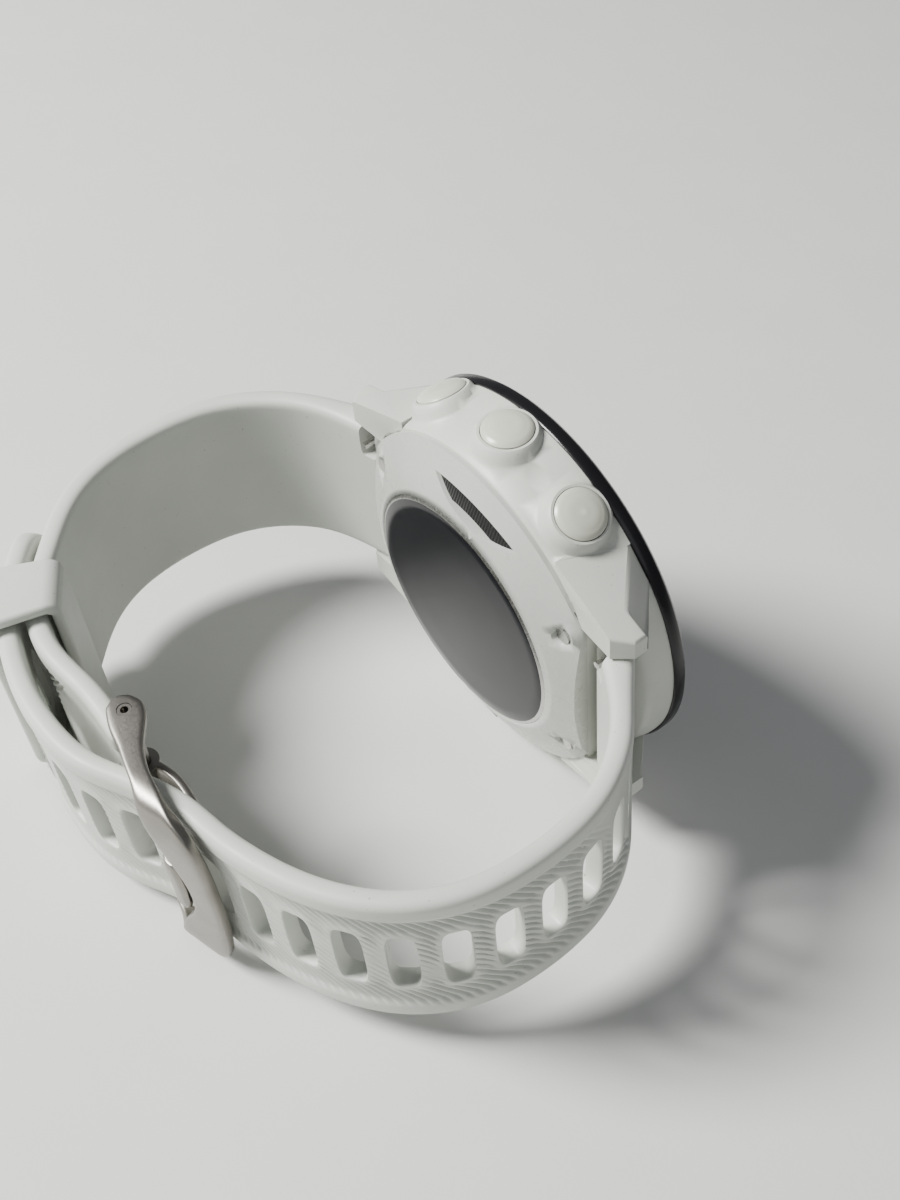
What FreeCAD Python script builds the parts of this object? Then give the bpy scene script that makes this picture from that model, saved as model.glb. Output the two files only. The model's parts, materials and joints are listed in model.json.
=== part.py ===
import FreeCAD, Part
import math
import os
import re
import Sketcher

# Round running watch lying on its side, strap buckled.
# Watch frame while modelling, millimetres: +X to 3 o'clock, +Y to 12 o'clock, +Z out of the glass,
# origin on the case axis level with the push buttons. The strap runs in the YZ plane.
# Every sub-part then gets the same rest placement, which tips the watch onto its side, +Z up.

V = FreeCAD.Vector
doc = FreeCAD.newDocument("running_watch")
sheet = doc.addObject("Spreadsheet::Sheet", "Sizes")

SIZES = {
    # case
    "case_dia": 46.1, "bezel_deep": 1.75, "seat_over_cap": 0.35, "bezel_land": 3.3, "bezel_chamfer": 0.45,
    "bezel_over": 0.35, "band_draft": 1.4, "case_wall": 3.3, "recess_wall": 1.4,
    "ledge_z": 1.35,
    # lugs and strap bars
    "lug_play": 0.7, "lug_thick": 3.2, "lug_flare": 2.9, "lug_tip": 3.3, "lug_root": 10.7, "lug_slope": 5.3,
    "lug_below": 0.7, "lug_tip_front": -1.7, "lug_facet": 2.0, "bar_inset": 2.65, "bar_z": -2.9,
    "bar_rad": 0.9, "tip_rad": 0.6, "tip_fit": 0.05, "tip_depth": 1.5, "tip_long": 4.0, "root_rad": 2.05,
    "root_room": 0.45, "release_travel": 1.6, "lever_len": 2.6, "lever_rad": 0.42, "lever_in": 2.6,
    # push buttons, measured out from the wall of the cavity
    "cap_rad": 2.8, "cap_fit": 0.09, "cap_proud": 0.4, "cap_dome": 0.4, "cap_in": 1.65, "floor_in": 0.95,
    "collar_rim": 0.65, "collar_flare": 1.1, "collar_land": 0.05, "collar_round": 0.28,
    "collar_proud": 0.5,
    "press_travel": 0.5, "stem_rad": 0.9, "stem_fit": 0.06, "stem_past": 0.95, "seal_in": 0.55,
    "seal_wire": 0.155, "clip_rad": 1.3, "clip_thick": 0.25, "clip_past": 0.2, "button_step": 30,
    # glass and display
    "lens_thick": 1.25, "lens_drop": 0.25, "lens_fit": 0.08, "gasket_thick": 0.3, "gasket_width": 1.6,
    "display_room": 2.4, "display_thick": 1.2, "chassis_thick": 0.5, "stack_gap": 0.05, "post_rad": 1.0,
    "post_circle": 14.2,
    # electronics
    "board_top": -0.95, "board_thick": 0.8, "board_room": 1.4, "board_side": 0.3, "switch_high": 1.7,
    "switch_deep": 1.5, "switch_wide": 3.6, "switch_room": 1.55, "battery_long": 25, "battery_wide": 20,
    "battery_thick": 3.0, "motor_rad": 4, "motor_thick": 1.7, "motor_x": -5.5, "motor_y": -6,
    "antenna_thick": 0.6, "antenna_side": 9, "antenna_x": 2, "antenna_y": 3,
    # case back
    "cover_step": 0.55, "cover_rim": 0.55, "cover_slope": 4.35, "cover_high": 2.55, "back_high": 3.15,
    "cover_wall": 1.1, "glass_rad": 14.6, "glass_proud": 0.25, "glass_thick": 0.9, "glass_fit": 0.05,
    "glass_ledge": 1.2, "seal_width": 0.6, "seal_deep": 0.4, "seal_edge": 0.7, "flat_wall": 1.1,
    "seal_land": 0.35,
    "screw_rad": 0.5,
    "screw_edge": 2.45, "screw_turn": 59, "boss_rad": 1.45, "boss_high": 2.6, "screw_bite": 2.2,
    "head_sunk": 1.0, "head_rad": 1.0, "head_high": 0.45, "sensor_sunk": 1.3, "sensor_rad": 10.5,
    "board_slice": 0.5, "led_rad": 1.0, "led_circle": 6.2, "carrier_sunk": 1.8, "carrier_thick": 1.0,
    "contact_rad": 0.4, "contact_out": 0.5, "contact_pitch": 1.5, "grille_in": 0.45, "grille_thick": 0.5,
    "vent_angle": 187, "vent_long": 13.6, "vent_wide": 2.5, "vent_out": 0.6,
    # strap loop in plan
    "strap_wide": 22, "strap_thick": 2.4, "loop_mid_z": -24, "loop_depth": 22.2, "loop_mid_y": 1.5,
    "loop_rise": 34.5, "loop_power": 2.4, "corner_push": 2.0, "corner_y": 19, "corner_span": 12,
    "layer_gap": 0.75, "ramp_low": -10, "ramp_high": 3, "tail_bow": 2.3, "bow_y": 8, "bow_span": 13,
    "root_angle": 130, "tail_angle": 58, "short_angle": 1, "tail_round": 6.5, "slot_long": 9.6,
    "slot_wide": 3.0, "slot_pitch": 5.1, "slots_before": 11, "slots_after": 7, "slot_from_pin": 9.9851,
    # buckle
    "pin_y": 2.6, "pin_rad": 0.75, "pin_fit": 0.05, "pin_dimple": 0.42, "pin_dimple_deep": 1.0,
    "barrel_rad": 2.1, "ear_play": 1.2, "ear_thick": 1.5, "ear_rad": 1.9, "scoop_deep": 2.9,
    "scoop_half": 7.4, "tang_wide": 8.2, "tang_thick": 1.2, "tang_room": 0.3, "tang_eye": 0.9,
    # keeper
    "keeper_angle": 33, "keeper_long": 7.6, "keeper_wall": 1.15, "keeper_side": 1.4, "keeper_play": 0.45,
    "keeper_side_play": 0.4, "keeper_round": 1.8,
    # how it lies: the bezel's rim and the buckle's lower ear stand on one surface
    "rim_from_buckle": 54.4,
}
# sizes that follow from others by a named wall, step or clearance
TIED = {
    "bezel_seat": "cap_rad + seat_over_cap", "bezel_front": "bezel_seat + bezel_deep",
    "band_back": "-(collar_base_rad + collar_land)", "lug_low": "band_back - lug_below",
    "cover_mid": "band_back - cover_high", "cover_back": "band_back - back_high",
    "glass_back": "cover_back - glass_proud", "head_seat": "band_back - head_sunk",
    "sensor_top": "band_back - sensor_sunk", "carrier_back": "band_back - carrier_sunk",
    "band_front_rad": "case_dia / 2 - bezel_over", "band_back_rad": "band_front_rad - band_draft",
    "cavity_rad": "band_front_rad - case_wall", "bar_y": "case_dia / 2 - bar_inset",
    "lug_reach": "bar_y + lug_tip", "lug_gap": "strap_wide + lug_play",
    "cavity_flat": "bar_y - root_rad - root_room - recess_wall",
    "collar_top": "band_front_rad + collar_proud", "collar_top_rad": "cap_rad + collar_rim",
    "collar_base_rad": "collar_top_rad + collar_flare", "cap_base": "cavity_rad + cap_in",
    "cap_floor": "cavity_rad + floor_in", "stem_end": "cavity_rad - stem_past",
    "seal_at": "cavity_rad + seal_in",
    "clip_outer": "cavity_rad - clip_past", "switch_face": "cavity_rad - switch_room",
    "display_rad": "cavity_rad - display_room", "board_rad": "cavity_rad - board_room",
    "cover_rad": "band_back_rad - cover_step", "cover_mid_rad": "cover_rad - cover_slope",
    "screw_circle": "cover_rad - screw_edge", "seal_mid": "cover_rad - seal_edge",
    "seal_flat": "cavity_flat + seal_width / 2 + seal_land", "contact_mid": "cover_mid_rad + contact_out",
    "vent_circle": "cover_mid_rad + vent_out", "pin_z": "loop_mid_z - loop_depth",
    "ear_gap": "strap_wide + ear_play",
}
for row, (alias, value) in enumerate(SIZES.items(), 1):
    sheet.set(f"A{row}", alias)
    sheet.set(f"B{row}", str(value))
    sheet.setAlias(f"B{row}", alias)
doc.recompute()


def bound(text):
    """The same expression over the sheet's cells, with each tied size written out."""
    def cell(found):
        word = found[0]
        if word in TIED:
            return f"({bound(TIED[word])})"
        return "Sizes." + word if word in SIZES else word
    return re.sub(r"[a-z]\w+", cell, text)


def size(text):
    """Value of an expression over the sheet's names."""
    result = sheet.evalExpression(bound(text))
    return float(getattr(result, "Value", result))


nodes = []


def body(label):
    made = doc.addObject("PartDesign::Body", label)
    made.Label = label
    nodes.append(made)
    return made


def sketch(part, plane, name, offset=None):
    """Sketch on one of the part's own origin planes: XY, XZ or YZ."""
    made = part.newObject("Sketcher::SketchObject", name)
    face = [f for f in part.Origin.OriginFeatures if f.Role == plane + "_Plane"][0]
    made.AttachmentSupport = [(face, "")]
    made.MapMode = "FlatFace"
    if offset is not None:
        made.AttachmentOffset = offset
    return made


def fix_point(made, geo, end, across, up):
    """Ties a sketch point to two sheet expressions, measured from the sketch origin."""
    for kind, expression in (("DistanceX", across), ("DistanceY", up)):
        index = made.addConstraint(Sketcher.Constraint(kind, -1, 1, geo, end, size(expression)))
        made.setExpression(f"Constraints[{index}]", bound(expression))


def outline(made, corners):
    """Closed outline through corners, each a pair of sheet expressions."""
    spots = [V(size(a), size(b), 0) for a, b in corners]
    first = made.GeometryCount
    count = len(spots)
    for i in range(count):
        made.addGeometry(Part.LineSegment(spots[i], spots[(i + 1) % count]))
    for i in range(count):
        made.addConstraint(Sketcher.Constraint("Coincident", first + i, 2, first + (i + 1) % count, 1))
    for i, (across, up) in enumerate(corners):
        fix_point(made, first + i, 1, across, up)
    return made


def ring(made, radius, across="0", up="0"):
    """Circle whose radius and centre are sheet expressions."""
    geo = made.addGeometry(Part.Circle(V(size(across), size(up), 0), V(0, 0, 1), size(radius)))
    fix_point(made, geo, 3, across, up)
    index = made.addConstraint(Sketcher.Constraint("Radius", geo, size(radius)))
    made.setExpression(f"Constraints[{index}]", bound(radius))
    return made


def pad(part, made, length, name, symmetric=False, back=False, cut=False):
    kind = "PartDesign::Pocket" if cut else "PartDesign::Pad"
    before = part.Shape.Volume if part.Tip is not None else 0.0
    feature = part.newObject(kind, name)
    feature.Profile = made
    feature.SideType = "Symmetric" if symmetric else "One side"
    feature.Reversed = back
    feature.setExpression("Length", bound(length))
    doc.recompute()
    gained = part.Shape.Volume - before
    if (gained > -1e-6) if cut else (gained < 1e-6):
        raise ValueError(f"{part.Label}.{name} changed nothing")
    return feature


def turn(part, made, name, cut=False):
    """Revolution (or groove) of a radius-height profile about the part's own Z axis."""
    feature = part.newObject("PartDesign::Groove" if cut else "PartDesign::Revolution", name)
    feature.Profile = made
    feature.ReferenceAxis = (made, ["V_Axis"])
    feature.Angle = 360
    doc.recompute()
    return feature


def lathe(label, corners, name="Turned"):
    """A turned sub-part from a radius-height outline."""
    part = body(label)
    turn(part, outline(sketch(part, "XZ", "Profile"), corners), name)
    return part


def height(level):
    """Sketch offset along the case axis."""
    return FreeCAD.Placement(V(0, 0, size(level)), FreeCAD.Rotation())


def disc(label, radius, low, high):
    return lathe(label, [("0", low), (radius, low), (radius, high), ("0", high)])


def radial(angle, out):
    """Offset that turns a YZ sketch about the case axis and moves it out along its own radius."""
    heading = FreeCAD.Rotation(V(0, 1, 0), angle)
    return FreeCAD.Placement(heading.multVec(V(0, 0, out)), heading)


# ---------------------------------------------------------------- strap path in plan (y, z)

def sgn_pow(value, power):
    return math.copysign(abs(value) ** power, value)


def window(value, centre, span):
    share = min(1.0, abs(value - centre) / span)
    return math.cos(share * math.pi / 2) ** 2


def smooth(value, low, high):
    share = min(1.0, max(0.0, (value - low) / (high - low)))
    return share * share * (3 - 2 * share)


def loop_point(angle, lift):
    """Superellipse of the strap's wrist side, lifted outward; 0 is the buckle, +90 the 12 o'clock side."""
    rise, depth = SIZES["loop_rise"], SIZES["loop_depth"]
    power = 2.0 / SIZES["loop_power"]
    z = SIZES["loop_mid_z"] - depth * sgn_pow(math.cos(angle), power)
    y = SIZES["loop_mid_y"] + rise * sgn_pow(math.sin(angle), power)
    across = sgn_pow((SIZES["loop_mid_z"] - z) / depth, SIZES["loop_power"] - 1) / depth
    along = sgn_pow((y - SIZES["loop_mid_y"]) / rise, SIZES["loop_power"] - 1) / rise
    norm = math.hypot(across, along)
    if z < SIZES["loop_mid_z"]:
        lift = lift + SIZES["corner_push"] * window(y, SIZES["corner_y"], SIZES["corner_span"])
    return V(0, y + lift * along / norm, z - lift * across / norm)


def tail_lift(y):
    """How far the long strap's tail stands off the short strap's wrist side."""
    layer = SIZES["strap_thick"] + SIZES["layer_gap"]
    ramp = smooth(y, SIZES["ramp_low"], SIZES["ramp_high"])
    return layer * ramp + SIZES["tail_bow"] * window(y, SIZES["bow_y"], SIZES["bow_span"])


def long_point(angle, lift):
    y = loop_point(angle, 0).y
    return loop_point(angle, lift + (tail_lift(y) if angle > -math.pi / 2 else 0.0))


def spline(points):
    curve = Part.BSplineCurve()
    curve.interpolate(points)
    return curve


def band(inner, outer, half):
    """Flat strap of twice the half width between two plan curves, closed at both ends."""
    edges = [spline(inner).toShape(), Part.LineSegment(inner[-1], outer[-1]).toShape(),
             spline(outer[::-1]).toShape(), Part.LineSegment(outer[0], inner[0]).toShape()]
    face = Part.Face(Part.Wire(edges))
    face.translate(V(-half, 0, 0))
    return face.extrude(V(2 * half, 0, 0))


def rod(radius, start, length, y, z):
    """Round bar along X."""
    return Part.makeCylinder(radius, length, V(start, y, z), V(1, 0, 0))


def part_feature(label, shape):
    made = doc.addObject("Part::Feature", label)
    made.Label = label
    made.Shape = shape.removeSplitter()
    nodes.append(made)
    return made


def flat_round(made, radius, flat):
    """Circle about the origin with its two Y sides cut flat."""
    rad, high = size(radius), size(flat)
    reach = math.asin(high / rad)
    arcs = [(-reach, reach), (math.pi - reach, math.pi + reach)]
    for low, top in arcs:
        made.addGeometry(Part.ArcOfCircle(Part.Circle(V(), V(0, 0, 1), rad), low, top))
    start = made.GeometryCount - 2
    right, left = start, start + 1
    cross = math.sqrt(rad * rad - high * high)
    made.addGeometry(Part.LineSegment(V(cross, high, 0), V(-cross, high, 0)))
    made.addGeometry(Part.LineSegment(V(-cross, -high, 0), V(cross, -high, 0)))
    for arc in (right, left):
        made.addConstraint(Sketcher.Constraint("Coincident", arc, 3, -1, 1))
        index = made.addConstraint(Sketcher.Constraint("Radius", arc, rad))
        made.setExpression(f"Constraints[{index}]", bound(radius))
    joins = [(right, 2, start + 2, 1), (start + 2, 2, left, 1), (left, 2, start + 3, 1),
             (start + 3, 2, right, 1)]
    for one, end, other, other_end in joins:
        made.addConstraint(Sketcher.Constraint("Coincident", one, end, other, other_end))
    for line, side in ((start + 2, "1"), (start + 3, "-1")):
        made.addConstraint(Sketcher.Constraint("Horizontal", line))
        index = made.addConstraint(Sketcher.Constraint("DistanceY", -1, 1, line, 1, float(side) * high))
        made.setExpression(f"Constraints[{index}]", bound(f"{side} * ({flat})"))
    return made


def edges_where(part, test):
    """Names of the part's edges whose middle and edge pass the test."""
    names = []
    for number, edge in enumerate(part.Shape.Edges, 1):
        middle = edge.valueAt((edge.FirstParameter + edge.LastParameter) / 2)
        if test(middle, edge):
            names.append(f"Edge{number}")
    return names


def soften(part, kind, width, test, name):
    """Fillet or Chamfer on the edges that pass the test."""
    base, names = part.Tip, edges_where(part, test)
    feature = part.newObject("PartDesign::" + kind, name)
    feature.Base = (base, names)
    feature.setExpression("Radius" if kind == "Fillet" else "Size", bound(width))
    doc.recompute()
    part.Tip = feature
    return feature


step = SIZES["button_step"]
BUTTONS = {"light_button": 180 - step, "up_button": 180, "down_button": 180 + step,
           "start_button": step, "back_button": -step}
SCREW_SPOTS = [(f"{x} * screw_circle * cos(screw_turn)", f"{y} * screw_circle * sin(screw_turn)")
               for x, y in ((1, 1), (-1, 1), (-1, -1), (1, -1))]
POST_ANGLES = (75, 195, 285)
CONTACT_STEPS = (-1.5, -0.5, 0.5, 1.5)


def shape_case():
    """Moulded case: turned band, four lugs, strap recesses, button collars and bores, cavity."""
    part = body("case_body")
    part.AllowCompound = True
    inner = "lug_gap / 2"
    root, slope = "(lug_reach - lug_root)", "(lug_reach - lug_slope)"
    lug = [(inner, root), (inner, "lug_reach"), (inner + " + lug_thick - 0.7", "lug_reach"),
           (inner + " + lug_thick + lug_flare", root)]
    made = sketch(part, "XY", "LugPlan", height("lug_low"))
    for side in ("1", "-1"):
        for end in ("1", "-1"):
            outline(made, [(f"{side} * ({a})", f"{end} * ({b})") for a, b in lug])
    pad(part, made, "bezel_seat - lug_low", "Lugs")
    made = sketch(part, "YZ", "LugSlopes")
    for end in ("1", "-1"):
        front = [(slope, "bezel_seat + 1"), (slope, "bezel_seat"), ("lug_reach - 0.4", "lug_tip_front"),
                 ("lug_reach + 1", "lug_tip_front"), ("lug_reach + 1", "bezel_seat + 1")]
        back = [(root, "band_back"), (root, "lug_low - 1"), ("lug_reach + 1", "lug_low - 1"),
                ("lug_reach + 1", "lug_low + 2"), ("lug_reach", "lug_low + 2"),
                ("lug_reach - 1.6", "lug_low + 0.1")]
        outline(made, [(f"{end} * ({a})", b) for a, b in front])
        outline(made, [(f"{end} * ({a})", b) for a, b in back])
    pad(part, made, "2 * case_dia", "LugTrim", symmetric=True, cut=True)

    def slope_flank(middle, edge):
        run = edge.tangentAt(edge.FirstParameter)
        outside = abs(middle.x) > size(inner) + 1 and abs(middle.y) > size(slope)
        return outside and middle.z > size("lug_tip_front") and abs(run.z) > 0.5 and abs(run.y) > 0.4

    soften(part, "Chamfer", "lug_facet", slope_flank, "LugFacet")
    band = [("0", "band_back"), ("band_back_rad - 0.35", "band_back"),
            ("band_back_rad", "band_back + 0.35"),
            ("band_front_rad", "bezel_seat - 0.6"), ("band_front_rad", "bezel_seat"), ("0", "bezel_seat")]
    turn(part, outline(sketch(part, "XZ", "Band"), band), "BandTurned")
    made = ring(sketch(part, "XY", "CoverSeat", height("band_back")), "cover_rad + 0.05")
    pad(part, made, "3", "CoverSeatCut", cut=True)
    room = "(root_rad + root_room)"
    made = sketch(part, "YZ", "StrapRecess")
    for end in ("1", "-1"):
        outline(made, [(f"{end} * (bar_y - {room})", "lug_low - 1"),
                       (f"{end} * (bar_y - {room})", f"bar_z + {room}"),
                       (f"{end} * (lug_reach + 1)", f"bar_z + {room}"),
                       (f"{end} * (lug_reach + 1)", "lug_low - 1")])
    pad(part, made, "lug_gap", "StrapRecesses", symmetric=True, cut=True)
    made = sketch(part, "YZ", "BarHoles")
    for end in ("1", "-1"):
        ring(made, "tip_rad + tip_fit", f"{end} * bar_y", "bar_z")
    pad(part, made, "lug_gap + 2 * tip_depth", "BarHolesDrilled", symmetric=True, cut=True)
    plane = [f for f in part.Origin.OriginFeatures if f.Role == "YZ_Plane"][0]
    rim = "collar_top - collar_round"
    cones = [("band_back_rad - 1", rim, "collar_base_rad", "collar_top_rad"),
             (rim, "collar_top", "collar_top_rad", "collar_top_rad - collar_round")]
    for name, angle in BUTTONS.items():
        for number, (start, end, wide, narrow) in enumerate(cones):
            collar = part.newObject("PartDesign::AdditiveCone", f"Collar{number}_{name}")
            collar.AttachmentSupport = [(plane, "")]
            collar.MapMode = "FlatFace"
            collar.AttachmentOffset = radial(angle, size(start))
            collar.setExpression("Radius1", bound(wide))
            collar.setExpression("Radius2", bound(narrow))
            collar.setExpression("Height", bound(f"{end} - ({start})"))
    doc.recompute()
    made = ring(sketch(part, "XY", "SeatFace", height("bezel_seat")), "case_dia")
    pad(part, made, "5", "SeatFaced", back=True, cut=True)
    for name, angle in BUTTONS.items():
        made = ring(sketch(part, "YZ", "CapBore_" + name, radial(angle, size("collar_top + 1"))),
                    "cap_rad + cap_fit")
        pad(part, made, "collar_top + 1 - cap_floor", "CapBored_" + name, cut=True)
        made = ring(sketch(part, "YZ", "StemBore_" + name, radial(angle, size("cap_floor + 0.1"))),
                    "stem_rad + stem_fit")
        pad(part, made, "cap_floor + 0.1 - cavity_rad + 2", "StemBored_" + name, cut=True)
    front = [("0", "ledge_z"), ("cavity_rad", "ledge_z"), ("cavity_rad", "bezel_seat + 1"),
             ("0", "bezel_seat + 1")]
    turn(part, outline(sketch(part, "XZ", "FrontCavity"), front), "FrontCavityTurned", cut=True)
    pad(part, flat_round(sketch(part, "XY", "BackCavity", height("ledge_z + 0.1")), "cavity_rad",
                         "cavity_flat"),
        "ledge_z + 0.1 - band_back + 0.1", "BackCavityCut", cut=True)
    made = sketch(part, "XY", "Bosses", height("band_back"))
    for spot in SCREW_SPOTS:
        ring(made, "boss_rad", *spot)
    pad(part, made, "boss_high", "BossPads")
    made = sketch(part, "XY", "ScrewHoles", height("band_back + screw_bite"))
    for spot in SCREW_SPOTS:
        ring(made, "screw_rad", *spot)
    pad(part, made, "screw_bite + 1", "ScrewHolesDrilled", cut=True)
    return part


def shape_front():
    """Bezel, glass, gasket, display and the chassis pan that carries the board."""
    front, seat, land = "bezel_front", "bezel_seat", "(case_dia / 2 - bezel_land)"
    outer = "case_dia / 2"
    lathe("bezel_ring", [(land, seat), (outer + " - 0.15", seat), (outer, seat + " + 0.2"),
                         (outer, front + " - 0.5"), (outer + " - 0.5", front),
                         (land + " + bezel_chamfer", front), (land, front + " - bezel_chamfer")])
    disc("glass_lens", land + " - lens_fit", "bezel_front - lens_drop - lens_thick",
         "bezel_front - lens_drop")
    pan, rim = "cavity_rad - 0.08", "(cavity_rad - gasket_width)"
    top = "(bezel_front - lens_drop - lens_thick)"
    lathe("lens_gasket", [(rim, top + " - gasket_thick"), (pan, top + " - gasket_thick"), (pan, top),
                          (rim, top)])
    disc("display_module", "display_rad", top + " - stack_gap - display_thick", top + " - stack_gap")
    part = lathe("chassis_pan", [("0", "ledge_z"), (pan, "ledge_z"), (pan, top + " - gasket_thick"),
                                 (rim + " + 0.1", top + " - gasket_thick"),
                                 (rim + " + 0.1", "ledge_z + chassis_thick"),
                                 ("0", "ledge_z + chassis_thick")])
    made = sketch(part, "XY", "Posts", height("ledge_z + 0.1"))
    for angle in POST_ANGLES:
        ring(made, "post_rad", f"post_circle * cos({angle})", f"post_circle * sin({angle})")
    pad(part, made, "ledge_z + 0.1 - board_top", "PostPads", back=True)


def shape_inside():
    """Board, radio, battery, motor, switches and the heart-rate sensor."""
    part = body("main_board")
    pad(part, flat_round(sketch(part, "XY", "Outline", height("board_top - board_thick")), "board_rad",
                         "cavity_flat - board_side"), "board_thick", "Board")
    part = body("battery")
    half_x, half_y = "battery_long / 2", "battery_wide / 2"
    box = [("-" + half_x, "-" + half_y), (half_x, "-" + half_y), (half_x, half_y), ("-" + half_x, half_y)]
    pad(part, outline(sketch(part, "XY", "Cell", height("board_top - board_thick - stack_gap")), box),
        "battery_thick", "CellPad", back=True)
    part = body("vibration_motor")
    pad(part, ring(sketch(part, "XY", "Can", height("board_top")), "motor_rad", "motor_x", "motor_y"),
        "motor_thick", "CanPad")
    part = body("gps_antenna")
    far_x, far_y = "antenna_x + antenna_side", "antenna_y + antenna_side"
    box = [("antenna_x", "antenna_y"), (far_x, "antenna_y"), (far_x, far_y), ("antenna_x", far_y)]
    pad(part, outline(sketch(part, "XY", "Patch", height("board_top")), box), "antenna_thick", "PatchPad")
    part = body("side_switches")
    part.AllowCompound = True
    for number, angle in enumerate(BUTTONS.values()):
        made = sketch(part, "YZ", f"Switch{number}", radial(angle, size("switch_face - switch_deep")))
        box = [("-switch_wide / 2", "board_top"), ("switch_wide / 2", "board_top"),
               ("switch_wide / 2", "board_top + switch_high"),
               ("-switch_wide / 2", "board_top + switch_high")]
        pad(part, outline(made, box), "switch_deep", f"SwitchPad{number}")
    disc("sensor_board", "sensor_rad", "sensor_top - board_slice", "sensor_top")
    part = body("sensor_leds")
    part.AllowCompound = True
    made = ring(sketch(part, "XY", "Emitters", height("sensor_top - board_slice")), "led_rad + 0.3")
    for angle in range(0, 360, 60):
        ring(made, "led_rad", f"led_circle * cos({angle})", f"led_circle * sin({angle})")
    pad(part, made, "board_slice", "EmitterPads", back=True)


def shape_back():
    """Case back with its seal, screws, sensor glass, air vent and charging contacts."""
    part = body("back_cover")
    rim, ledge = "band_back - cover_rim", "(glass_back + glass_thick)"
    hole = "(glass_rad + glass_fit)"
    wall = [("cover_rad", "band_back"), ("cover_rad", rim), ("cover_mid_rad", "cover_mid"),
            (hole, "cover_back"),
            (hole, ledge), (hole + " - glass_ledge", ledge), (hole + " - glass_ledge", ledge + " + 0.7"),
            ("cover_mid_rad", "cover_mid + cover_wall"), ("cavity_rad", rim + " - 0.1"),
            ("cavity_rad", "band_back")]
    turn(part, outline(sketch(part, "XZ", "Wall"), wall), "Shell")
    made = sketch(part, "XY", "Bosses", height("band_back"))
    for spot in SCREW_SPOTS:
        ring(made, "boss_rad", *spot)
    pad(part, made, "1.2", "BossPads", back=True)
    made = ring(sketch(part, "XY", "FlatWalls", height("band_back")), "cavity_rad + 0.05")
    pad(part, flat_round(made, "cavity_rad", "cavity_flat"), "flat_wall", "FlatWallPads", back=True)
    room = "(root_rad + root_room)"
    made = sketch(part, "YZ", "StrapRecess")
    for end in ("1", "-1"):
        outline(made, [(f"{end} * (bar_y - {room})", "lug_low - 4"),
                       (f"{end} * (bar_y - {room})", f"bar_z + {room}"),
                       (f"{end} * (lug_reach + 1)", f"bar_z + {room}"),
                       (f"{end} * (lug_reach + 1)", "lug_low - 4")])
    pad(part, made, "lug_gap", "StrapRecesses", symmetric=True, cut=True)
    groove = sketch(part, "XY", "SealGroove", height("band_back + 0.1"))
    flat_round(groove, "seal_mid + seal_width / 2", "seal_flat + seal_width / 2")
    flat_round(groove, "seal_mid - seal_width / 2", "seal_flat - seal_width / 2")
    pad(part, groove, "seal_deep + 0.1", "SealGrooveCut", cut=True)
    heads = sketch(part, "XY", "HeadBores", height("head_seat"))
    shanks = sketch(part, "XY", "ShankHoles", height("band_back + 0.1"))
    for spot in SCREW_SPOTS:
        ring(heads, "head_rad + 0.05", *spot)
        ring(shanks, "screw_rad + 0.05", *spot)
    pad(part, heads, "4", "HeadBored", cut=True)
    pad(part, shanks, "4", "ShankDrilled", cut=True)
    turned = FreeCAD.Rotation(V(0, 0, 1), size("vent_angle"))
    made = sketch(part, "XY", "VentOpening", FreeCAD.Placement(V(0, 0, size("band_back")), turned))
    pad(part, lens_outline(made, "0"), "6", "VentCut", cut=True)
    made = sketch(part, "XY", "ContactOpening", height("band_back"))
    pad(part, outline(made, contact_box("0")), "6", "ContactCut", cut=True)

    part = body("back_seal")
    made = sketch(part, "XY", "Loop", height("band_back"))
    flat_round(made, "seal_mid + seal_width / 2 - 0.02", "seal_flat + seal_width / 2 - 0.02")
    flat_round(made, "seal_mid - seal_width / 2 + 0.02", "seal_flat - seal_width / 2 + 0.02")
    pad(part, made, "seal_deep - 0.02", "LoopPad", back=True)
    lathe("sensor_window", [("0", ledge), ("glass_rad", ledge), ("glass_rad", "cover_back + 0.05"),
                            ("glass_rad - 0.4", "glass_back + 0.1"), ("glass_rad * 0.6", "glass_back"),
                            ("0", "glass_back")])
    part = body("back_screws")
    part.AllowCompound = True
    heads = sketch(part, "XY", "Heads", height("head_seat"))
    shanks = sketch(part, "XY", "Shanks", height("head_seat"))
    for spot in SCREW_SPOTS:
        ring(heads, "head_rad", *spot)
        ring(shanks, "screw_rad", *spot)
    pad(part, heads, "head_high", "HeadPads", back=True)
    pad(part, shanks, "band_back + screw_bite - 0.2 - head_seat", "ShankPads")
    cone = doc.addObject("PartDesign::Body", "GrilleCone")
    slope = [("cover_mid_rad", "cover_mid + grille_in + grille_thick"),
             ("cover_mid_rad", "cover_mid + grille_in"),
             ("cover_rad", rim + " + grille_in"), ("cover_rad", rim + " + grille_in + grille_thick")]
    turn(cone, outline(sketch(cone, "XZ", "Slope"), slope), "ConeTurned")
    lens = doc.addObject("PartDesign::Body", "GrilleLens")
    made = sketch(lens, "XY", "LensPlan", FreeCAD.Placement(V(0, 0, size("cover_back")), turned))
    pad(lens, lens_outline(made, "0.03"), "5", "LensPad")
    grille = doc.addObject("Part::Common", "vent_grille")
    grille.Base, grille.Tool = cone, lens
    grille.Label = "vent_grille"
    nodes.append(grille)
    part = body("contact_carrier")
    made = outline(sketch(part, "XY", "Block", height("carrier_back")), contact_box("0.03"))
    for pitch in CONTACT_STEPS:
        ring(made, "contact_rad + 0.02", "contact_mid", f"{pitch} * contact_pitch")
    pad(part, made, "carrier_thick", "BlockPad")
    part = body("charge_contacts")
    part.AllowCompound = True
    made = sketch(part, "XY", "Pins", height("carrier_back - 0.15"))
    for pitch in CONTACT_STEPS:
        ring(made, "contact_rad", "contact_mid", f"{pitch} * contact_pitch")
    pad(part, made, "carrier_thick + 0.35", "PinPads")


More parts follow.
